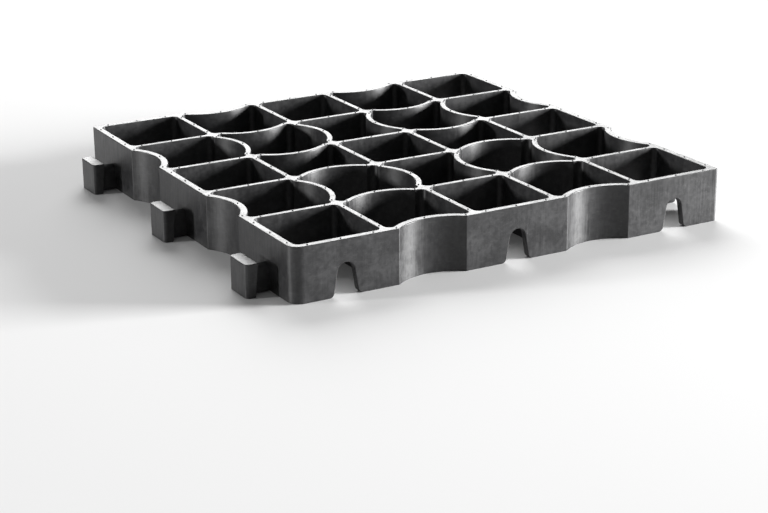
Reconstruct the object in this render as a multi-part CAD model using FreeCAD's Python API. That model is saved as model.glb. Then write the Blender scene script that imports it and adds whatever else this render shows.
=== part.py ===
"""Grass paver grid: one moulded square of open cells that hooks to its neighbours.

The grid is one piece of recycled polyethylene. Five rows of five cells stand on the ground, open
at the top and the bottom. The walls of every second row and column bow in a shallow wave, which
stiffens the grid. Two edges carry hooks, and the other two have the slots that drop over them.

Units are millimetres. +X runs along the edge with hooks on its left end, +Z is up, the grid lies
on the plane z = 0, and the origin is the middle of the box around the grid, at its bottom.
"""
import FreeCAD, Part
import math
import os

# Overall sizes
module = 333.0              # outer face to outer face, nine grids to the square metre
height = 38.0               # laying face to wall tops

# Wall lines, measured between the centres of the walls
middle_pitch = 62.8         # width of the middle row and column
side_pitch = 66.8           # width of the rows and columns beside it, whose outer walls are waves
wave_stub = 7.4             # straight run from a crossing of walls to the start of a wave
wave_depth = 9.0            # how far a wave leaves its wall line

# Wall thicknesses at the top, and the draft that thickens each wall towards the bottom
inner_wall = 4.0
outer_wall = 5.0
draft_degrees = 0.6         # on each face inside a cell
cell_corner_radius = 5.0
kink_clearance = 0.3        # least straight run left between a rounded corner and a wave
lead_corner_radius = 8.5    # the corner between the first hook and the first slot
plain_corner_radius = 2.5   # the other three corners

# Slots in two edges: a round arch with flared sides and a rounded mouth, open at the bottom
slot_height = 22.4
slot_crown_radius = 6.3
slot_flare_degrees = 9.5
slot_mouth_radius = 3.5

# Hooks on the other two edges: a head held off the wall by a neck that fits the slot
hook_width = 24.5
hook_thickness = 9.2        # at the top
hook_taper = 2.2            # how much thinner the head is at the bottom, on the side of the wall
hook_height = 22.8
hook_corner_radius = 3.0    # the two upright edges that face away from the wall
hook_wall_clearance = 5.8   # between the head and the neighbour's outer wall, for play as grids swell
neck_side_clearance = 2.4   # between the neck and each side of the slot
neck_crown_clearance = 4.0  # between the neck and the top of the slot
neck_lift = 1.0             # between the neck and the ground

# Values that follow from the sizes above
half_module = module / 2.0
draft_growth = height * math.tan(math.radians(draft_degrees))
inner_line = middle_pitch / 2.0
side_line = inner_line + side_pitch
edge_line = half_module - outer_wall / 2.0
wall_lines = [-edge_line, -side_line, -inner_line, inner_line, side_line, edge_line]
wave_middle = (inner_line + side_line) / 2.0
wave_chord = side_pitch - 2.0 * wave_stub
wave_radius = (wave_chord ** 2 / 4.0 + wave_depth ** 2) / (2.0 * wave_depth)
hook_gap = outer_wall + hook_wall_clearance
hook_reach = hook_gap + hook_thickness
flat_end = wave_middle + wave_chord / 2.0
connector_offset = (half_module + flat_end) / 2.0
connector_places = [-connector_offset, 0.0, connector_offset]

LAST_LINE = len(wall_lines) - 1
CELLS = range(LAST_LINE)


def point(x, y, z=0.0):
    """Return a FreeCAD vector."""
    return FreeCAD.Vector(x, y, z)


def line(start, end):
    """Return a straight edge."""
    return Part.LineSegment(start, end).toShape()


def arc(start, middle, end):
    """Return a round edge through three points."""
    return Part.Arc(start, middle, end).toShape()


def bulge(line_index, span_index):
    """Say which way a wall bows: +1 up its cross axis, -1 down it, 0 for a straight wall.

    Every second span of each wall line is a wave, and it bows towards the middle of the grid.
    """
    if span_index % 2 == 0:
        return 0
    return 1 if wall_lines[line_index] < 0 else -1


def wave_half_chord(offset):
    """Return half the chord of a wave on a line that lies offset beyond its centre line."""
    return math.sqrt(wave_depth * (2.0 * (wave_radius + offset) - wave_depth))


def wave_points(line_index, span_index, offset):
    """Return a wave's start, crown and end on a line beside its wall line, as (along, across).

    offset is the signed distance from the wall's centre line. The list is empty for a straight
    wall, and it runs up the wall line's own axis.
    """
    way = bulge(line_index, span_index)
    if way == 0:
        return []
    half_chord = wave_half_chord(way * offset)
    middle = math.copysign(wave_middle, wall_lines[span_index])
    across = wall_lines[line_index] + offset
    crown = across + way * wave_depth
    return [(middle - half_chord, across), (middle, crown), (middle + half_chord, across)]


def closed_outline(sides, corners, radii, z):
    """Return a closed wire of four sides with rounded corners, counterclockwise from above.

    sides holds each side's wave points, in the order in which the outline passes them. corners
    holds the sharp corner at the start of each side, and radii the rounding of each corner.
    """
    count = len(corners)
    starts = []
    ends = []
    for index in range(count):
        run = corners[(index + 1) % count] - corners[index]
        run.normalize()
        starts.append(corners[index] + run * radii[index])
        ends.append(corners[(index + 1) % count] - run * radii[(index + 1) % count])
    edges = []
    for index in range(count):
        here = starts[index]
        waves = [point(x, y, z) for x, y in sides[index]]
        for first in range(0, len(waves), 3):
            edges.append(line(here, waves[first]))
            edges.append(arc(*waves[first:first + 3]))
            here = waves[first + 2]
        edges.append(line(here, ends[index]))
        corner = (index + 1) % count
        inward = ends[index] + starts[corner] - corners[corner] * 2.0
        centre = corners[corner] + inward
        outward = corners[corner] - centre
        outward.normalize()
        edges.append(arc(ends[index], centre + outward * radii[corner], starts[corner]))
    return Part.Wire(edges)


def along_x(points):
    """Turn (along, across) points of a wall line that runs along X into (x, y)."""
    return list(points)


def along_y(points):
    """Turn (along, across) points of a wall line that runs along Y into (x, y)."""
    return [(across, along) for along, across in points]


def half_thickness(line_index, growth):
    """Return the distance from a wall's centre line to its face inside a cell."""
    wall = outer_wall if line_index in (0, LAST_LINE) else inner_wall
    return wall / 2.0 + growth


def corner_radius(growth):
    """Return the rounding of a cell's corners, limited by the straight run beside a wave."""
    half_chord = wave_half_chord(max(inner_wall, outer_wall) / 2.0 + growth)
    straight_run = side_pitch / 2.0 - half_chord - inner_wall / 2.0 - growth
    return min(cell_corner_radius, straight_run - kink_clearance)


def cell_outline(column, row, growth, z):
    """Return the outline of one cell, with its walls thickened by growth on each face."""
    left = half_thickness(column, growth)
    right = -half_thickness(column + 1, growth)
    front = half_thickness(row, growth)
    back = -half_thickness(row + 1, growth)
    west = wall_lines[column] + left
    east = wall_lines[column + 1] + right
    south = wall_lines[row] + front
    north = wall_lines[row + 1] + back
    sides = [
        along_x(wave_points(row, column, front)),
        along_y(wave_points(column + 1, row, right)),
        along_x(wave_points(row + 1, column, back))[::-1],
        along_y(wave_points(column, row, left))[::-1],
    ]
    corners = [point(west, south, z), point(east, south, z), point(east, north, z), point(west, north, z)]
    radius = corner_radius(growth)
    return closed_outline(sides, corners, [radius] * len(corners), z)


def cell_core(column, row):
    """Return the space inside one cell: a drafted core, widest at the top."""
    bottom = cell_outline(column, row, draft_growth, 0.0)
    top = cell_outline(column, row, 0.0, height)
    return Part.makeLoft([bottom, top], True, True)


def plate():
    """Return the grid's outer form, with the waves of its four edges, as a solid block."""
    outward = outer_wall / 2.0
    front = []
    back = []
    left = []
    right = []
    for span in CELLS:
        front += along_x(wave_points(0, span, -outward))
        back += along_x(wave_points(LAST_LINE, span, outward))
        left += along_y(wave_points(0, span, -outward))
        right += along_y(wave_points(LAST_LINE, span, outward))
    edge = half_module
    corners = [point(-edge, -edge), point(edge, -edge), point(edge, edge), point(-edge, edge)]
    radii = [lead_corner_radius, plain_corner_radius, plain_corner_radius, plain_corner_radius]
    outline = closed_outline([front, right, back[::-1], left[::-1]], corners, radii, 0.0)
    return Part.Face(outline).extrude(point(0.0, 0.0, height))


def arch_outline(crown_height, crown_radius, mouth_radius):
    """Return an upright arch in the XZ plane at y = 0, open side down, as a closed wire.

    The crown is round, the sides flare towards the bottom, and a mouth_radius over zero rounds
    the two corners where the sides meet the plane z = 0.
    """
    flare = math.radians(slot_flare_degrees)
    crown_centre = crown_height - crown_radius
    shoulder = point(crown_radius * math.cos(flare), 0.0, crown_centre + crown_radius * math.sin(flare))
    foot = point(shoulder.x + shoulder.z * math.tan(flare), 0.0, 0.0)
    right_side = [line(shoulder, foot)]
    if mouth_radius > 0.0:
        reach = mouth_radius * math.tan((math.pi / 2.0 - flare) / 2.0)
        side_end = foot + (shoulder - foot).normalize() * reach
        floor_end = foot + point(reach, 0.0, 0.0)
        centre = floor_end + point(0.0, 0.0, mouth_radius)
        middle = centre + (foot - centre).normalize() * mouth_radius
        right_side = [line(shoulder, side_end), arc(side_end, middle, floor_end)]
        foot = floor_end
    left_side = [edge.mirror(point(0.0, 0.0), point(1.0, 0.0)) for edge in right_side]
    crown = arc(point(-shoulder.x, 0.0, shoulder.z), point(0.0, 0.0, crown_height), shoulder)
    base = line(foot, point(-foot.x, 0.0))
    return Part.Wire(Part.__sortEdges__([crown, base] + right_side + left_side))


def slot_core():
    """Return the cutter for the slot in the front edge, centred on x = 0."""
    arch = Part.Face(arch_outline(slot_height, slot_crown_radius, slot_mouth_radius))
    depth = outer_wall + draft_growth + cell_corner_radius
    core = arch.extrude(point(0.0, depth + outer_wall, 0.0))
    core.translate(point(0.0, -half_module - outer_wall, 0.0))
    return core


def hook():
    """Return one hook on the back edge, centred on x = 0, with its neck rooted in the wall."""
    neck_crown_radius = slot_crown_radius - neck_side_clearance
    neck_height = slot_height - neck_crown_clearance - neck_lift
    neck = Part.Face(arch_outline(neck_height, neck_crown_radius, 0.0))
    root = outer_wall / 2.0
    neck = neck.extrude(point(0.0, root + hook_gap + hook_thickness / 2.0, 0.0))
    neck.translate(point(0.0, half_module - root, neck_lift))
    side = -hook_width / 2.0
    inner = half_module + hook_gap
    outer = inner + hook_thickness
    section = [
        point(side, inner + hook_taper, 0.0),
        point(side, outer, 0.0),
        point(side, outer, hook_height),
        point(side, inner, hook_height),
    ]
    head = Part.Face(Part.makePolygon(section + section[:1])).extrude(point(hook_width, 0.0))
    outer_edges = [
        edge for edge in head.Edges
        if edge.BoundBox.ZLength > hook_height / 2.0 and edge.CenterOfMass.y > (inner + outer) / 2.0
    ]
    head = head.makeFillet(hook_corner_radius, outer_edges)
    return head.fuse(neck)


def on_two_edges(shape):
    """Return copies of an edge's feature at its three places, on that edge and on the next.

    The next edge is a quarter turn counterclockwise about the grid's middle.
    """
    copies = []
    for turn in (0.0, 90.0):
        for place in connector_places:
            copy = shape.copy()
            copy.translate(point(place, 0.0))
            copy.rotate(point(0.0, 0.0), point(0.0, 0.0, 1.0), turn)
            copies.append(copy)
    return copies


def paver_grid():
    """Return the whole grid as one solid, on its own origin."""
    grid = plate()
    grid = grid.cut([cell_core(column, row) for column in CELLS for row in CELLS])
    grid = grid.fuse(on_two_edges(hook()))
    grid = grid.cut(on_two_edges(slot_core()))
    grid = grid.removeSplitter()
    grid.translate(point(hook_reach / 2.0, -hook_reach / 2.0))
    return grid


os.makedirs("parts", exist_ok=True)
grid = paver_grid()
solid = grid.Solids[0]
print("solids", len(grid.Solids), "valid", solid.isValid(), "volume cm3", round(solid.Volume / 1000.0, 1))
print("box", solid.BoundBox)
print("connector offset", round(connector_offset, 2), "wave radius", round(wave_radius, 2))
solid.exportStep("parts/paver_grid.step")
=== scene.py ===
"""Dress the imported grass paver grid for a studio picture.

The grid is one moulding of black recycled polyethylene: five rows of five open cells, every second
wall bowed in a wave, hooks on two edges and slots on the other two. The mesh here follows the
solid's own sizes and adds what a mould leaves: rounded rims, eased kinks and the pips on the walls.
"""
import logging
import math
from dataclasses import dataclass, field
from enum import Enum
from typing import Any

import bpy
import numpy as np
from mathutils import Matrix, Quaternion, Vector
from mathutils.geometry import delaunay_2d_cdt


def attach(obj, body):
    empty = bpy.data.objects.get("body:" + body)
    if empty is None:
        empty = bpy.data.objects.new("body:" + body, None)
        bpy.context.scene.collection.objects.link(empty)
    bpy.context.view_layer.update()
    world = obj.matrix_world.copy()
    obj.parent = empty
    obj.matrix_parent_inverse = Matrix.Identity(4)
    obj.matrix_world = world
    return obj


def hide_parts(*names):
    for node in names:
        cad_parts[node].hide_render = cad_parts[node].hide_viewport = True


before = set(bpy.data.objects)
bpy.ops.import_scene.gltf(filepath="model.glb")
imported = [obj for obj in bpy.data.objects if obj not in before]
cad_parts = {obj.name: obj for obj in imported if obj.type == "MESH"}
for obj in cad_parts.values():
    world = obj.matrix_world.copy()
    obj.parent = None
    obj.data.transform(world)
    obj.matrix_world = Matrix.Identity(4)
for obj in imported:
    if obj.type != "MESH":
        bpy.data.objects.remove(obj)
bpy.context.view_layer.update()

LOG = logging.getLogger("grass_paver_grid")
MM = 0.001
BODY = "root"
GRID_NODE = "paver_grid"

# An arc has at least so many steps, however little it turns
ARC_STEPS = 2
# The triangulation keeps only what lies inside the outer ring, and joins points closer than this
INSIDE_ONLY = 1
JOIN_DISTANCE = 1e-7
# How much large faces outweigh small ones where they share a smooth edge
FLAT_FACE_WEIGHT = 80


def linear(code: str) -> tuple[float, float, float, float]:
    """Turn an sRGB hex colour into linear RGBA.

    Args:
        code: Six hex digits, with or without a leading hash.

    Returns:
        The linear colour with full alpha.
    """
    digits = code.lstrip("#")
    channels = [int(digits[start:start + 2], 16) / 255.0 for start in (0, 2, 4)]
    red, green, blue = (c / 12.92 if c <= 0.04045 else ((c + 0.055) / 1.055) ** 2.4 for c in channels)
    return red, green, blue, 1.0


def add_node(tree: bpy.types.NodeTree, kind: str, settings: dict[str | int, Any] | None = None,
             links: dict[str | int, bpy.types.NodeSocket] | None = None) -> bpy.types.Node:
    """Add a node with its settings and its incoming links.

    Args:
        tree: The node tree that gets the node.
        kind: The node's type name.
        settings: Values by input name or number, or by attribute name.
        links: Sockets of other nodes by input name or number.

    Returns:
        The new node.
    """
    node = tree.nodes.new(kind)
    for name, value in (settings or {}).items():
        if isinstance(name, str) and hasattr(node, name):
            setattr(node, name, value)
        else:
            node.inputs[name].default_value = value
    for name, socket in (links or {}).items():
        tree.links.new(socket, node.inputs[name])
    return node


class Side(Enum):
    """The grid's edges, as quarter turns counterclockwise from the front."""

    FRONT = 0
    RIGHT = 1
    BACK = 2
    LEFT = 3

    def turn(self) -> np.ndarray:
        """Return the plan rotation that carries the front edge to this one."""
        cosine, sine = ((1, 0), (0, 1), (-1, 0), (0, -1))[self.value]
        return np.array(((cosine, -sine), (sine, cosine)), float)


class Join(Enum):
    """How a tool solid changes the grid."""

    CUT = "DIFFERENCE"
    FUSE = "UNION"


@dataclass(frozen=True)
class Bend:
    """One point of an outline, with the radius that rounds it."""

    x: float
    y: float
    radius: float = 0.0


def rounded(bends: list[Bend], step_degrees: float = 15.0) -> np.ndarray:
    """Turn a closed outline of bends into points, with each bend as a short arc.

    Args:
        bends: The outline's points, in order.
        step_degrees: The largest turn between two points of an arc.

    Returns:
        The points, one row each.
    """
    corners = np.array([(bend.x, bend.y) for bend in bends])
    points = []
    for index, bend in enumerate(bends):
        here = corners[index]
        if bend.radius == 0.0:
            points.append(here)
            continue
        inward = here - corners[index - 1]
        outward = corners[(index + 1) % len(bends)] - here
        inward /= np.hypot(*inward)
        outward /= np.hypot(*outward)
        turn = math.atan2(inward[0] * outward[1] - inward[1] * outward[0], float(inward @ outward))
        start = here - inward * bend.radius * math.tan(abs(turn) / 2.0)
        across = math.copysign(1.0, turn) * np.array((-inward[1], inward[0]))
        steps = max(ARC_STEPS, math.ceil(abs(math.degrees(turn)) / step_degrees))
        for step in range(steps + 1):
            angle = abs(turn) * step / steps
            ahead, aside = math.sin(angle), 1.0 - math.cos(angle)
            points.append(start + bend.radius * (ahead * inward + aside * across))
    return np.array(points)


def grown(path: np.ndarray, distance: float) -> np.ndarray:
    """Move a closed counterclockwise path outward, with mitred corners.

    Args:
        path: The path's points, one row each.
        distance: How far each side moves; below zero it moves inward.

    Returns:
        The moved points, in the same order.
    """
    into = path - np.roll(path, 1, axis=0)
    into /= np.linalg.norm(into, axis=1, keepdims=True)
    before = np.stack((into[:, 1], -into[:, 0]), axis=1)
    after = np.roll(before, -1, axis=0)
    reach = 1.0 + np.sum(before * after, axis=1, keepdims=True)
    return path + distance * (before + after) / reach


def raised(plan: np.ndarray, rise: float) -> np.ndarray:
    """Return plan points lifted to one height."""
    return np.column_stack((plan, np.full(len(plan), rise)))


def quarter(radius: float, steps: int) -> list[tuple[float, float]]:
    """Return a quarter round as (inset, rise) pairs, from the flat to the upright face."""
    angles = [math.pi / 2.0 * step / steps for step in range(steps + 1)]
    return [(radius * (1.0 - math.sin(angle)), radius * (1.0 - math.cos(angle))) for angle in angles]


class Draft:
    """Points and faces in millimetres, gathered before they become a mesh."""

    def __init__(self) -> None:
        """Start empty."""
        self.points: list[tuple[float, float, float]] = []
        self.faces: list[tuple[int, ...]] = []

    def ring(self, points: np.ndarray) -> list[int]:
        """Add points in space.

        Args:
            points: The points, one row each.

        Returns:
            The points' numbers, in the same order.
        """
        first = len(self.points)
        self.points += [tuple(float(value) for value in point) for point in points]
        return list(range(first, len(self.points)))

    def band(self, lower: list[int], upper: list[int], inward: bool = False) -> None:
        """Join two rings of the same length by quads.

        Args:
            lower: Numbers of the ring that comes first along the profile.
            upper: Numbers of the ring that comes next.
            inward: True if the faces look into the ring.
        """
        count = len(lower)
        for index in range(count):
            after = (index + 1) % count
            quad = (lower[index], lower[after], upper[after], upper[index])
            self.faces.append(quad[::-1] if inward else quad)

    def solid(self, rings: list[list[int]], inward: bool = False) -> None:
        """Join rings of the same length into one closed solid.

        Args:
            rings: The numbers of each ring, in order.
            inward: True if the rings run clockwise as seen from the last one.
        """
        for lower, upper in zip(rings, rings[1:]):
            self.band(lower, upper, inward)
        ends = [tuple(rings[0][::-1]), tuple(rings[-1])]
        self.faces += [end[::-1] for end in ends] if inward else ends

    def turned(self, path: np.ndarray, profile: list[tuple[float, float]],
               inward: bool = False) -> list[list[int]]:
        """Sweep a plan path up a profile.

        Args:
            path: A closed counterclockwise path in plan.
            profile: (outward, height) pairs from the bottom up.
            inward: True if the faces look into the path.

        Returns:
            The numbers of each ring, from the bottom up.
        """
        rings = [self.ring(raised(grown(path, outward), rise)) for outward, rise in profile]
        for lower, upper in zip(rings, rings[1:]):
            self.band(lower, upper, inward)
        return rings

    def flat(self, loops: list[list[int]], up: bool) -> None:
        """Fill a level face between an outer ring and the rings inside it.

        Args:
            loops: The outer ring first, then each ring that is left open.
            up: True if the face looks up.
        """
        numbers = [number for loop in loops for number in loop]
        owners = np.concatenate([np.full(len(loop), index) for index, loop in enumerate(loops)])
        plan = np.array([self.points[number][:2] for number in numbers])
        edges = []
        first = 0
        for loop in loops:
            edges += [(first + index, first + (index + 1) % len(loop)) for index in range(len(loop))]
            first += len(loop)
        spots = [Vector(point) for point in plan]
        _, _, triangles, *_ = delaunay_2d_cdt(spots, edges, [], INSIDE_ONLY, JOIN_DISTANCE)
        for triangle in triangles:
            corners = list(triangle)
            touched = set(owners[corners])
            ring = touched.pop() if len(touched) == 1 else 0
            # A triangle with all its corners on one inner ring is left out if it lies inside that ring
            if ring and inside(plan[corners].mean(axis=0), plan[owners == ring]):
                continue
            face = tuple(numbers[index] for index in corners)
            self.faces.append(face if up else face[::-1])

    def to_object(self, name: str, shift: tuple[float, float]) -> bpy.types.Object:
        """Make the mesh object, in metres.

        Args:
            name: The object's name.
            shift: Where the plan's middle lies in the part's frame, in millimetres.

        Returns:
            The new object, linked to the scene.
        """
        mesh = bpy.data.meshes.new(name)
        points = (np.array(self.points) + (shift[0], shift[1], 0.0)) * MM
        mesh.from_pydata(points.tolist(), [], self.faces)
        mesh.validate()
        thing = bpy.data.objects.new(name, mesh)
        bpy.context.scene.collection.objects.link(thing)
        return thing


def inside(point: np.ndarray, polygon: np.ndarray) -> bool:
    """Say whether a plan point lies inside a closed polygon.

    Args:
        point: The point.
        polygon: The polygon's points, one row each.

    Returns:
        True if it lies inside.
    """
    following = np.roll(polygon, -1, axis=0)
    crosses = (polygon[:, 1] > point[1]) != (following[:, 1] > point[1])
    rise = np.where(crosses, following[:, 1] - polygon[:, 1], 1.0)
    where = polygon[:, 0] + (point[1] - polygon[:, 1]) * (following[:, 0] - polygon[:, 0]) / rise
    return bool(np.count_nonzero(crosses & (where > point[0])) % 2)


def combine(body: bpy.types.Object, tool: bpy.types.Object, how: Join) -> None:
    """Cut a tool solid out of a body or fuse it on, and remove the tool.

    Args:
        body: The object that is changed.
        tool: The solid that is used up.
        how: Whether the tool is cut or fused.
    """
    modifier = body.modifiers.new(how.name, "BOOLEAN")
    modifier.operation = how.value
    modifier.solver = "MANIFOLD"
    modifier.object = tool
    ready = body.evaluated_get(bpy.context.evaluated_depsgraph_get())
    old = body.data
    name = old.name
    mesh = bpy.data.meshes.new_from_object(ready)
    body.modifiers.clear()
    body.data = mesh
    bpy.data.meshes.remove(old)
    mesh.name = name
    spent = tool.data
    bpy.data.objects.remove(tool)
    bpy.data.meshes.remove(spent)


def smooth(thing: bpy.types.Object, sharp_degrees: float) -> None:
    """Shade an object smoothly, flat faces kept flat and edges over an angle kept sharp.

    Args:
        thing: The mesh object.
        sharp_degrees: The angle between two faces above which their edge stays sharp.
    """
    thing.data.shade_smooth()
    thing.data.set_sharp_from_angle(angle=math.radians(sharp_degrees))
    weighted = thing.modifiers.new("flat_faces", "WEIGHTED_NORMAL")
    weighted.keep_sharp = True
    weighted.weight = FLAT_FACE_WEIGHT


@dataclass(frozen=True)
class MouldedPolyethylene:
    """Recycled polyethylene, injection moulded in a steel tool and left as it came out.

    Carbon black colours it through. The tool's faces were milled in level passes and then lightly
    blasted, which gives a satin skin: near black face on, bright grey at a low angle, with highlights
    that draw out into upright bands. Flow and regrind leave soft clouds.
    """

    name: str = "recycled_polyethylene_moulded_black"
    deep: str = "#232324"
    cloud: str = "#363637"
    rubbed: str = "#5c5c5b"
    ior: float = 1.51
    roughness: tuple[float, float] = (0.40, 0.52)
    streak_gloss: float = 0.07
    banding: float = 0.6
    # The bands stand upright. Their slight lean gives level faces a direction too, from side to side
    upright: tuple[float, float, float] = (-0.085, 0.05, 1.0)
    # How wide the marks of each pattern are
    cloud_mm: float = 14.0
    mottle_mm: float = 3.2
    flow_mm: float = 1.4
    scuff_mm: float = 1.1
    grain_mm: float = 0.45
    # The part of each pattern's range over which it goes from nothing to full
    cloud_span: tuple[float, float] = (0.14, 0.38)
    gloss_span: tuple[float, float] = (0.15, 0.40)
    streak_span: tuple[float, float] = (0.3, 0.7)
    scuff_span: tuple[float, float] = (0.56, 0.72)
    rim_span: tuple[float, float] = (0.56, 0.70)
    level_span: tuple[float, float] = (0.4, 0.9)
    # How strongly scuffs and rims are rubbed, and the streaks' value where there are none
    scuff_share: float = 0.3
    rim_share: float = 0.5
    calm: float = 0.5
    # How much a pattern is shrunk along the way it is drawn out
    flow_draw: float = 0.06
    scuff_draw: float = 0.3
    # Strength and height in millimetres of each relief
    waviness: tuple[float, float] = (0.10, 0.6)
    flow: tuple[float, float] = (0.40, 0.12)
    skin: tuple[float, float] = (0.16, 0.08)

    def material(self) -> bpy.types.Material:
        """Build the finish.

        Returns:
            The new material.
        """
        material = bpy.data.materials.new(self.name)
        material.use_nodes = True
        tree = material.node_tree
        tree.nodes.clear()
        place = add_node(tree, "ShaderNodeTexCoord").outputs["Object"]
        shape = add_node(tree, "ShaderNodeNewGeometry")

        # Regrind never mixes fully: soft clouds a finger wide, and a finer mottle inside them
        clouds = add_node(tree, "ShaderNodeTexNoise",
                          {"Scale": 1.0 / (self.cloud_mm * MM), "Detail": 3.0}, {"Vector": place})
        mottle = add_node(tree, "ShaderNodeTexNoise",
                          {"Scale": 1.0 / (self.mottle_mm * MM), "Detail": 4.0}, {"Vector": place})
        patches = add_node(tree, "ShaderNodeMath", {"operation": "MULTIPLY"},
                           {0: clouds.outputs["Fac"], 1: mottle.outputs["Fac"]})
        depth = add_node(tree, "ShaderNodeMapRange",
                         dict(zip(("From Min", "From Max"), self.cloud_span)),
                         {"Value": patches.outputs[0]})

        # The melt runs up the walls, and upright faces keep faint streaks of it
        drawn = add_node(tree, "ShaderNodeMapping", {"Scale": (1.0, 1.0, self.flow_draw)},
                         {"Vector": place})
        melt = add_node(tree, "ShaderNodeTexNoise",
                        {"Scale": 1.0 / (self.flow_mm * MM), "Detail": 2.0},
                        {"Vector": drawn.outputs[0]})
        facing = add_node(tree, "ShaderNodeSeparateXYZ", None, {0: shape.outputs["Normal"]})
        level = add_node(tree, "ShaderNodeMapRange",
                         dict(zip(("From Min", "From Max"), self.level_span)),
                         {"Value": facing.outputs["Z"]})
        streaks = add_node(tree, "ShaderNodeMix", {"data_type": "FLOAT", 3: self.calm},
                           {0: level.outputs[0], 2: melt.outputs["Fac"]})

        # Stacking and dragging leave short pale scuffs, longer than they are high
        dragged = add_node(tree, "ShaderNodeMapping",
                           {"Scale": (self.scuff_draw, self.scuff_draw, 1.0)}, {"Vector": place})
        scratches = add_node(tree, "ShaderNodeTexNoise",
                             {"Scale": 1.0 / (self.scuff_mm * MM), "Detail": 3.0},
                             {"Vector": dragged.outputs[0]})
        scuffs = add_node(tree, "ShaderNodeMapRange",
                          {"From Min": self.scuff_span[0], "From Max": self.scuff_span[1],
                           "To Max": self.scuff_share},
                          {"Value": scratches.outputs["Fac"]})

        # Rims are rubbed a little paler by handling and stacking
        rims = add_node(tree, "ShaderNodeMapRange",
                        {"From Min": self.rim_span[0], "From Max": self.rim_span[1],
                         "To Max": self.rim_share},
                        {"Value": shape.outputs["Pointiness"]})
        worn = add_node(tree, "ShaderNodeMath", {"operation": "ADD"},
                        {0: rims.outputs[0], 1: scuffs.outputs[0]})
        rub = add_node(tree, "ShaderNodeMath", {"operation": "MULTIPLY"},
                       {0: worn.outputs[0], 1: mottle.outputs["Fac"]})
        body = add_node(tree, "ShaderNodeMix",
                        {"data_type": "RGBA", 6: linear(self.deep), 7: linear(self.cloud)},
                        {0: depth.outputs[0]})
        colour = add_node(tree, "ShaderNodeMix", {"data_type": "RGBA", 7: linear(self.rubbed)},
                          {0: rub.outputs[0], 6: body.outputs[2]})

        # The clouds and the streaks are each a little glossier or duller than what lies beside them
        gloss = add_node(tree, "ShaderNodeMapRange",
                         {"From Min": self.gloss_span[0], "From Max": self.gloss_span[1],
                          "To Min": self.roughness[0], "To Max": self.roughness[1]},
                         {"Value": patches.outputs[0]})
        drag = add_node(tree, "ShaderNodeMapRange",
                        {"From Min": self.streak_span[0], "From Max": self.streak_span[1],
                         "To Min": -self.streak_gloss, "To Max": self.streak_gloss},
                        {"Value": streaks.outputs[0]})
        sheen = add_node(tree, "ShaderNodeMath", {"operation": "ADD"},
                         {0: gloss.outputs[0], 1: drag.outputs[0]})

        # The blasted grain is finer than the picture can show, so it is drawn at half a millimetre
        grain = add_node(tree, "ShaderNodeTexNoise",
                         {"Scale": 1.0 / (self.grain_mm * MM), "Detail": 2.0}, {"Vector": place})
        surface: dict[str, bpy.types.NodeSocket] = {}
        for (strength, rise), height in ((self.waviness, clouds.outputs["Fac"]),
                                         (self.flow, streaks.outputs[0]),
                                         (self.skin, grain.outputs["Fac"])):
            relief = add_node(tree, "ShaderNodeBump", {"Strength": strength, "Distance": rise * MM},
                              {"Height": height, **surface})
            surface = {"Normal": relief.outputs[0]}

        # The lines of the tool's level passes draw the light out into upright bands
        upright = add_node(tree, "ShaderNodeCombineXYZ", dict(zip("XYZ", self.upright)))
        shader = add_node(tree, "ShaderNodeBsdfPrincipled",
                          {"IOR": self.ior, "Anisotropic": self.banding},
                          {"Base Color": colour.outputs[2], "Roughness": sheen.outputs[0],
                           "Tangent": upright.outputs[0], **surface})
        add_node(tree, "ShaderNodeOutputMaterial", None, {"Surface": shader.outputs[0]})
        return material


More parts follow.
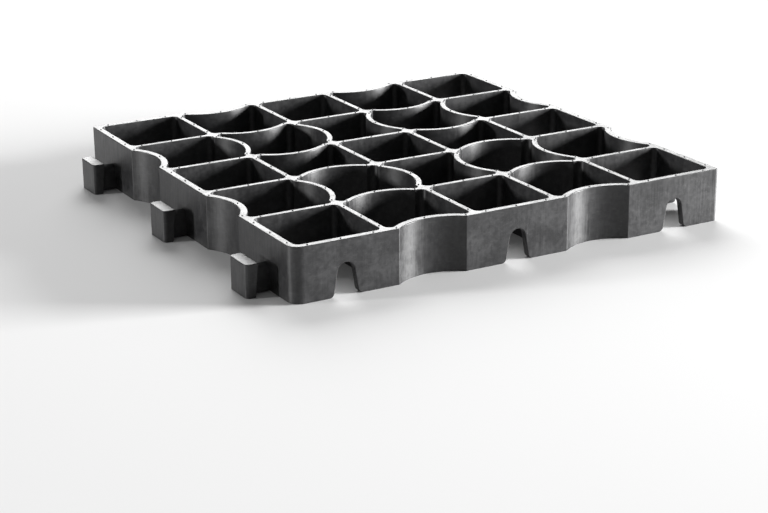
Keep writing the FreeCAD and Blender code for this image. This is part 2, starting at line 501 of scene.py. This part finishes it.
@dataclass
class PaverGrid:
    """The moulded grid: walls, slots and hooks as one solid. Sizes are in millimetres."""

    finish: MouldedPolyethylene = field(default_factory=MouldedPolyethylene)
    module: float = 333.0
    height: float = 38.0
    middle_pitch: float = 62.8
    side_pitch: float = 66.8
    wave_stub: float = 7.4
    wave_depth: float = 9.0
    inner_wall: float = 4.0
    outer_wall: float = 5.0
    draft_degrees: float = 0.6
    cell_corner_radius: float = 4.25
    lead_corner_radius: float = 8.5
    plain_corner_radius: float = 2.5
    slot_height: float = 22.4
    slot_crown_radius: float = 6.3
    slot_flare_degrees: float = 9.5
    slot_mouth_radius: float = 3.5
    hook_width: float = 24.5
    hook_thickness: float = 9.2
    hook_taper: float = 2.2
    hook_height: float = 22.8
    hook_corner_radius: float = 3.0
    hook_wall_clearance: float = 5.8
    neck_side_clearance: float = 2.4
    neck_crown_clearance: float = 4.0
    neck_lift: float = 1.0
    # Relief that the solid leaves to this mesh
    top_rim: float = 0.6
    foot_rim: float = 0.4
    slot_rim: float = 0.5
    hook_rim: float = 0.8
    edge_kink_radius: float = 1.4
    cell_kink_radius: float = 0.8
    # How far the slots' cutters reach past the wall
    cutter_below: float = 2.0
    cutter_beyond: float = 3.0
    # How finely the curves are drawn, and the angle from which an edge stays sharp
    sharp_degrees: float = 38.0
    wave_steps: int = 28
    foot_steps: int = 2
    top_steps: int = 4
    slot_rim_steps: int = 3
    slot_mouth_steps: int = 6
    crown_steps: int = 14

    def __post_init__(self) -> None:
        """Work out the values that follow from the sizes."""
        self.half = self.module / 2.0
        self.growth = self.height * math.tan(math.radians(self.draft_degrees))
        inner = self.middle_pitch / 2.0
        side = inner + self.side_pitch
        edge = self.half - self.outer_wall / 2.0
        self.lines = (-edge, -side, -inner, inner, side, edge)
        self.last = len(self.lines) - 1
        self.wave_middle = (inner + side) / 2.0
        chord = self.side_pitch - 2.0 * self.wave_stub
        self.wave_radius = (chord ** 2 / 4.0 + self.wave_depth ** 2) / (2.0 * self.wave_depth)
        self.hook_gap = self.outer_wall + self.hook_wall_clearance
        self.hook_reach = self.hook_gap + self.hook_thickness
        self.shift = (self.hook_reach / 2.0, -self.hook_reach / 2.0)
        offset = (self.half + self.wave_middle + chord / 2.0) / 2.0
        self.connectors = (-offset, 0.0, offset)

    def bulge(self, line: int, span: int) -> int:
        """Say which way a wall bows.

        Args:
            line: The wall line's number.
            span: The number of the span along it.

        Returns:
            +1 if it bows up its cross axis, -1 if down it, 0 if it is straight.
        """
        if span % 2 == 0:
            return 0
        return 1 if self.lines[line] < 0 else -1

    def wave(self, line: int, span: int, offset: float, kink: float) -> list[tuple[float, float, float]]:
        """Return a wave beside its wall line as (along, across, radius), up the line's axis.

        Args:
            line: The wall line's number.
            span: The number of the span along it.
            offset: Signed distance from the wall's centre line.
            kink: The radius that eases the wave's two ends.

        Returns:
            The wave's points, or none for a straight wall.
        """
        way = self.bulge(line, span)
        if way == 0:
            return []
        radius = self.wave_radius + way * offset
        half_angle = math.acos(1.0 - self.wave_depth / radius)
        middle = math.copysign(self.wave_middle, self.lines[span])
        centre = self.lines[line] + offset + way * (self.wave_depth - radius)
        points = []
        for step in range(self.wave_steps + 1):
            angle = half_angle * (2.0 * step / self.wave_steps - 1.0)
            end = step in (0, self.wave_steps)
            points.append((middle + radius * math.sin(angle), centre + way * radius * math.cos(angle),
                           kink if end else 0.0))
        return points

    def half_wall(self, line: int) -> float:
        """Return half the thickness of a wall at its top."""
        return (self.outer_wall if line in (0, self.last) else self.inner_wall) / 2.0

    def cell_path(self, column: int, row: int) -> np.ndarray:
        """Draw the outline of one cell at its top.

        Args:
            column: The cell's number along X.
            row: The cell's number along Y.

        Returns:
            The outline's points, counterclockwise.
        """
        west, east = self.half_wall(column), -self.half_wall(column + 1)
        south, north = self.half_wall(row), -self.half_wall(row + 1)
        kink, corner = self.cell_kink_radius, self.cell_corner_radius
        left, right = self.lines[column] + west, self.lines[column + 1] + east
        front, back = self.lines[row] + south, self.lines[row + 1] + north
        bends = [Bend(left, front, corner)]
        bends += [Bend(u, v, r) for u, v, r in self.wave(row, column, south, kink)]
        bends.append(Bend(right, front, corner))
        bends += [Bend(v, u, r) for u, v, r in self.wave(column + 1, row, east, kink)]
        bends.append(Bend(right, back, corner))
        bends += [Bend(u, v, r) for u, v, r in reversed(self.wave(row + 1, column, north, kink))]
        bends.append(Bend(left, back, corner))
        bends += [Bend(v, u, r) for u, v, r in reversed(self.wave(column, row, west, kink))]
        return rounded(bends)

    def edge_path(self) -> np.ndarray:
        """Draw the grid's outer outline.

        Returns:
            The outline's points, counterclockwise from the lead corner.
        """
        out, kink, half = self.outer_wall / 2.0, self.edge_kink_radius, self.half
        bends = [Bend(-half, -half, self.lead_corner_radius)]
        for span in range(self.last):
            bends += [Bend(u, v, r) for u, v, r in self.wave(0, span, -out, kink)]
        bends.append(Bend(half, -half, self.plain_corner_radius))
        for span in range(self.last):
            bends += [Bend(v, u, r) for u, v, r in self.wave(self.last, span, out, kink)]
        bends.append(Bend(half, half, self.plain_corner_radius))
        for span in reversed(range(self.last)):
            bends += [Bend(u, v, r) for u, v, r in reversed(self.wave(self.last, span, out, kink))]
        bends.append(Bend(-half, half, self.plain_corner_radius))
        for span in reversed(range(self.last)):
            bends += [Bend(v, u, r) for u, v, r in reversed(self.wave(0, span, -out, kink))]
        return rounded(bends)

    def wall_profile(self, growth: float) -> list[tuple[float, float]]:
        """Return a wall face as (into the wall, height) pairs, from its foot to its top.

        Args:
            growth: How much thicker the wall is at its foot on this face.

        Returns:
            The profile, with both rims rounded.
        """
        foot = [(inset - growth, rise) for inset, rise in quarter(self.foot_rim, self.foot_steps)]
        top = [(inset, self.height - rise)
               for inset, rise in reversed(quarter(self.top_rim, self.top_steps))]
        return foot + top

    def walls(self) -> bpy.types.Object:
        """Build all walls as one closed mesh, without slots or hooks.

        Returns:
            The walls.
        """
        draft = Draft()
        edge = draft.turned(self.edge_path(),
                            [(-inset, rise) for inset, rise in self.wall_profile(0.0)])
        cells = [draft.turned(self.cell_path(column, row), self.wall_profile(self.growth), inward=True)
                 for column in range(self.last) for row in range(self.last)]
        draft.flat([edge[0]] + [cell[0] for cell in cells], up=False)
        draft.flat([edge[-1]] + [cell[-1] for cell in cells], up=True)
        return draft.to_object("paver_grid_moulding", self.shift)

    def arch(self, crown_height: float, crown_radius: float, mouth_radius: float,
             foot: float) -> np.ndarray:
        """Draw an upright arch as (across, up) points, counterclockwise from its right foot.

        Args:
            crown_height: The height of the arch's top.
            crown_radius: The radius of its top.
            mouth_radius: The radius that eases its two bottom corners, or 0.
            foot: The level at which the outline closes.

        Returns:
            The closed outline.
        """
        flare = math.radians(self.slot_flare_degrees)
        centre = crown_height - crown_radius
        shoulder = np.array((crown_radius * math.cos(flare),
                             centre + crown_radius * math.sin(flare)))
        slope = np.array((math.sin(flare), -math.cos(flare)))
        right = []
        if mouth_radius > 0.0:
            corner = shoulder + slope * shoulder[1] / math.cos(flare)
            sweep = math.pi / 2.0 - flare
            middle = corner + (mouth_radius * math.tan(sweep / 2.0), mouth_radius)
            for step in range(1, self.slot_mouth_steps + 1):
                angle = flare + sweep * (1.0 - step / self.slot_mouth_steps)
                spot = middle - mouth_radius * np.array((math.cos(angle), math.sin(angle)))
                if step == 1:
                    # From the first point the mouth runs on straight to the level that closes it
                    right.append(spot + (spot[1] - foot) * np.array((math.tan(angle), -1.0)))
                right.append(spot)
        else:
            right.append(shoulder + slope * (shoulder[1] - foot) / math.cos(flare))
        crown = [(crown_radius * math.cos(angle), centre + crown_radius * math.sin(angle))
                 for angle in np.linspace(flare, math.pi - flare, self.crown_steps + 1)]
        left = [(-point[0], point[1]) for point in reversed(right)]
        return np.array([tuple(point) for point in right] + crown + left)

    def slot_cutters(self) -> bpy.types.Object:
        """Build the six tools that cut the slots, flared where they leave the wall's faces.

        Returns:
            The tools, as one object.
        """
        outline = self.arch(self.slot_height, self.slot_crown_radius, self.slot_mouth_radius,
                            -self.cutter_below)
        rims = [(depth, flare) for flare, depth in quarter(self.slot_rim, self.slot_rim_steps)]
        # The rim's first step is run on outward, so that no edge of the tool lies in the wall's face
        lead = (2.0 * rims[0][0] - rims[1][0], 2.0 * rims[0][1] - rims[1][1])
        faces = [(-self.cutter_beyond, lead[1]), lead] + rims[1:]
        draft = Draft()
        for side in (Side.FRONT, Side.RIGHT):
            for place in self.connectors:
                rings = []
                for far_side in (False, True):
                    for depth, flare in reversed(faces) if far_side else faces:
                        plan = grown(outline, flare)
                        wall = self.outer_wall + self.growth * (1.0 - plan[:, 1] / self.height)
                        inset = wall - depth if far_side else np.full(len(plan), depth)
                        ground = np.column_stack((plan[:, 0] + place, inset - self.half))
                        ground = ground @ side.turn().T
                        rings.append(draft.ring(np.column_stack((ground, plan[:, 1]))))
                draft.solid(rings, inward=True)
        return draft.to_object("slot_cutters", self.shift)

    def necks(self) -> bpy.types.Object:
        """Build the six necks that carry the hooks' heads, rooted in the wall.

        Returns:
            The necks, as one object.
        """
        outline = self.arch(self.slot_height - self.neck_crown_clearance,
                            self.slot_crown_radius - self.neck_side_clearance, 0.0, self.neck_lift)
        ends = (-self.outer_wall / 2.0, self.hook_gap + self.hook_thickness / 2.0)
        draft = Draft()
        for side in (Side.BACK, Side.LEFT):
            for place in self.connectors:
                rings = []
                for reach in ends:
                    ground = raised(outline[:, :1] + place, -self.half - reach) @ side.turn().T
                    rings.append(draft.ring(np.column_stack((ground, outline[:, 1]))))
                draft.solid(rings)
        return draft.to_object("hook_necks", self.shift)

    def heads(self) -> bpy.types.Object:
        """Build the six heads of the hooks, blocks with eased edges.

        Returns:
            The heads, as one object.
        """
        near = -self.half - self.hook_gap
        far = near - self.hook_thickness
        reach = self.hook_width / 2.0
        outer, inner = self.hook_corner_radius, self.slot_rim
        plan = rounded([Bend(-reach, far, outer), Bend(reach, far, outer),
                        Bend(reach, near, inner), Bend(-reach, near, inner)])
        wall_side = plan[:, 1] > (near + far) / 2.0
        foot = [(-inset, rise) for inset, rise in quarter(self.foot_rim, self.foot_steps)]
        top = [(-inset, self.hook_height - rise)
               for inset, rise in reversed(quarter(self.hook_rim, self.top_steps))]
        draft = Draft()
        for side in (Side.BACK, Side.LEFT):
            for place in self.connectors:
                rings = []
                for outward, rise in foot + top:
                    level = grown(plan, outward) + (place, 0.0)
                    level[wall_side, 1] -= self.hook_taper * (1.0 - rise / self.hook_height)
                    rings.append(draft.ring(raised(level @ side.turn().T, rise)))
                draft.solid(rings)
        return draft.to_object("hook_heads", self.shift)

    def build(self) -> bpy.types.Object:
        """Build the grid and dress it.

        Returns:
            The finished object, riding on the part's body.
        """
        grid = self.walls()
        combine(grid, self.slot_cutters(), Join.CUT)
        combine(grid, self.necks(), Join.FUSE)
        combine(grid, self.heads(), Join.FUSE)
        smooth(grid, self.sharp_degrees)
        grid.data.materials.clear()
        grid.data.materials.append(self.finish.material())
        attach(grid, BODY)
        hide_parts(GRID_NODE)
        return grid


@dataclass
class WallTopPips:
    """The small round pips that stand on the wall tops. Sizes are in millimetres."""

    grid: PaverGrid
    radius: float = 0.6
    rise: float = 0.55
    root: float = 0.3
    spacing: float = 23.5
    sharp_degrees: float = 60.0
    around: int = 12
    levels: int = 4

    def places(self) -> list[tuple[float, float]]:
        """Find where the pips stand: three to a wall, at the ends and the middle of a wave.

        Returns:
            The plan position of every pip.
        """
        grid = self.grid
        found = []
        for line in range(grid.last + 1):
            for span in range(grid.last):
                wave = grid.wave(line, span, 0.0, 0.0)
                if wave:
                    along = [wave[0], wave[len(wave) // 2], wave[-1]]
                    spots = [(u, v) for u, v, _ in along]
                else:
                    middle = (grid.lines[span] + grid.lines[span + 1]) / 2.0
                    spots = [(middle + step * self.spacing, grid.lines[line]) for step in (-1, 0, 1)]
                found += spots + [(v, u) for u, v in spots]
        return found

    def build(self, finish: bpy.types.Material) -> bpy.types.Object:
        """Build all pips as one piece.

        Args:
            finish: The grid's own material.

        Returns:
            The finished object, riding on the part's body.
        """
        draft = Draft()
        angles = np.linspace(0.0, 2.0 * math.pi, self.around, endpoint=False)
        circle = np.column_stack((np.cos(angles), np.sin(angles)))
        base = self.grid.height - self.root
        for place in self.places():
            rings = [draft.ring(raised(circle * self.radius + place, base))]
            for level in range(self.levels):
                lift = math.pi / 2.0 * level / self.levels
                # The square root makes a blunt dome, steeper at its sides than a round one
                plan = circle * self.radius * math.sqrt(math.cos(lift)) + place
                rise = self.grid.height + self.rise * math.sin(lift)
                rings.append(draft.ring(raised(plan, rise)))
            draft.solid(rings)
        pips = draft.to_object("wall_top_pips", self.grid.shift)
        smooth(pips, self.sharp_degrees)
        pips.data.materials.append(finish)
        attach(pips, BODY)
        return pips


@dataclass(frozen=True)
class PaintedFloor:
    """A floor rolled with matt white paint: even, without gloss, so that it keeps the grid's shadow."""

    name: str = "matt_white_painted_floor"
    colour: str = "#e4e4e4"
    roughness: float = 0.9
    specular: float = 0.0

    def material(self) -> bpy.types.Material:
        """Build the finish.

        Returns:
            The new material.
        """
        material = bpy.data.materials.new(self.name)
        material.use_nodes = True
        tree = material.node_tree
        tree.nodes.clear()
        shader = add_node(tree, "ShaderNodeBsdfPrincipled",
                          {"Base Color": linear(self.colour), "Roughness": self.roughness,
                           "Specular IOR Level": self.specular})
        add_node(tree, "ShaderNodeOutputMaterial", None, {"Surface": shader.outputs[0]})
        return material


@dataclass(frozen=True)
class Lamp:
    """One soft lamp, placed by its direction from the grid, in degrees. Distances are in metres."""

    name: str
    azimuth: float
    elevation: float
    distance: float
    width: float
    tall: float
    radiance: float

    def add(self) -> bpy.types.Object:
        """Place the lamp so that it looks at the grid.

        Returns:
            The new lamp.
        """
        light = bpy.data.lights.new(self.name, "AREA")
        light.shape = "RECTANGLE"
        light.size, light.size_y = self.width, self.tall
        # A flat lamp's power is its radiance times pi times its area
        light.energy = self.radiance * math.pi * self.width * self.tall
        lamp = bpy.data.objects.new(self.name, light)
        turn, lift = math.radians(self.azimuth), math.radians(self.elevation)
        level = math.cos(lift)
        toward = Vector((math.cos(turn) * level, math.sin(turn) * level, math.sin(lift)))
        lamp.location = toward * self.distance
        lamp.rotation_mode = "QUATERNION"
        lamp.rotation_quaternion = toward.to_track_quat("Z", "Y")
        lamp.visible_camera = False
        bpy.context.scene.collection.objects.link(lamp)
        return lamp


@dataclass
class Studio:
    """The floor, the white room and its lamps. Distances are in metres.

    The back softbox whitens the wall tops. The two low lamps draw the bands on the waves.
    """

    floor_finish: PaintedFloor = field(default_factory=PaintedFloor)
    floor_half: float = 20.0
    room_colour: str = "#ffffff"
    room_strength: float = 0.15
    lamps: tuple[Lamp, ...] = (
        Lamp("back_softbox", azimuth=65.0, elevation=30.0, distance=4.4, width=2.9, tall=3.3,
             radiance=7.9),
        Lamp("left_lamp", azimuth=164.0, elevation=9.5, distance=4.0, width=0.33, tall=0.33,
             radiance=280.0),
        Lamp("right_softbox", azimuth=-28.0, elevation=9.5, distance=3.4, width=1.06, tall=0.88,
             radiance=128.0),
    )

    def build(self) -> None:
        """Lay the floor, set the room and hang the lamps."""
        mesh = bpy.data.meshes.new("floor")
        reach = self.floor_half
        corners = [(-reach, -reach, 0.0), (reach, -reach, 0.0), (reach, reach, 0.0), (-reach, reach, 0.0)]
        mesh.from_pydata(corners, [], [tuple(range(len(corners)))])
        floor = bpy.data.objects.new("floor", mesh)
        bpy.context.scene.collection.objects.link(floor)
        mesh.materials.append(self.floor_finish.material())

        world = bpy.data.worlds.new("white_room")
        world.use_nodes = True
        tree = world.node_tree
        tree.nodes.clear()
        sky = add_node(tree, "ShaderNodeBackground",
                       {"Color": linear(self.room_colour), "Strength": self.room_strength})
        add_node(tree, "ShaderNodeOutputWorld", None, {"Surface": sky.outputs[0]})
        bpy.context.scene.world = world
        for lamp in self.lamps:
            lamp.add()
            LOG.info("lamp %s", lamp.name)


@dataclass
class PhotoCamera:
    """The camera at the photograph's viewing angle. Places are in millimetres, clips in metres."""

    eye: tuple[float, float, float] = (-662.81, -1191.92, 426.09)
    aim: tuple[float, float, float] = (-61.4, -123.16, 0.0)
    lens: float = 91.112
    sensor: float = 36.0
    roll_degrees: float = -0.555
    clips: tuple[float, float] = (0.05, 50.0)

    def build(self) -> bpy.types.Object:
        """Make the camera and make it the scene's.

        Returns:
            The new camera.
        """
        data = bpy.data.cameras.new("photo_camera")
        data.lens = self.lens
        data.sensor_fit = "HORIZONTAL"
        data.sensor_width = self.sensor
        data.clip_start, data.clip_end = self.clips
        camera = bpy.data.objects.new("photo_camera", data)
        eye, aim = Vector(self.eye) * MM, Vector(self.aim) * MM
        camera.location = eye
        camera.rotation_mode = "QUATERNION"
        level = (aim - eye).to_track_quat("-Z", "Y")
        roll = Quaternion((0.0, 0.0, 1.0), math.radians(self.roll_degrees))
        camera.rotation_quaternion = level @ roll
        bpy.context.scene.collection.objects.link(camera)
        bpy.context.scene.camera = camera
        return camera


def main() -> None:
    """Build the camera, the grid, its pips and the studio in order."""
    logging.basicConfig(level=logging.INFO, format="%(message)s")
    bpy.context.scene.view_settings.view_transform = "Standard"
    PhotoCamera().build()
    grid = PaverGrid()
    moulding = grid.build()
    LOG.info("%s: %d faces", moulding.name, len(moulding.data.polygons))
    pips = WallTopPips(grid).build(moulding.data.materials[0])
    LOG.info("%s: %d faces", pips.name, len(pips.data.polygons))
    Studio().build()


if __name__ == "__main__":
    main()
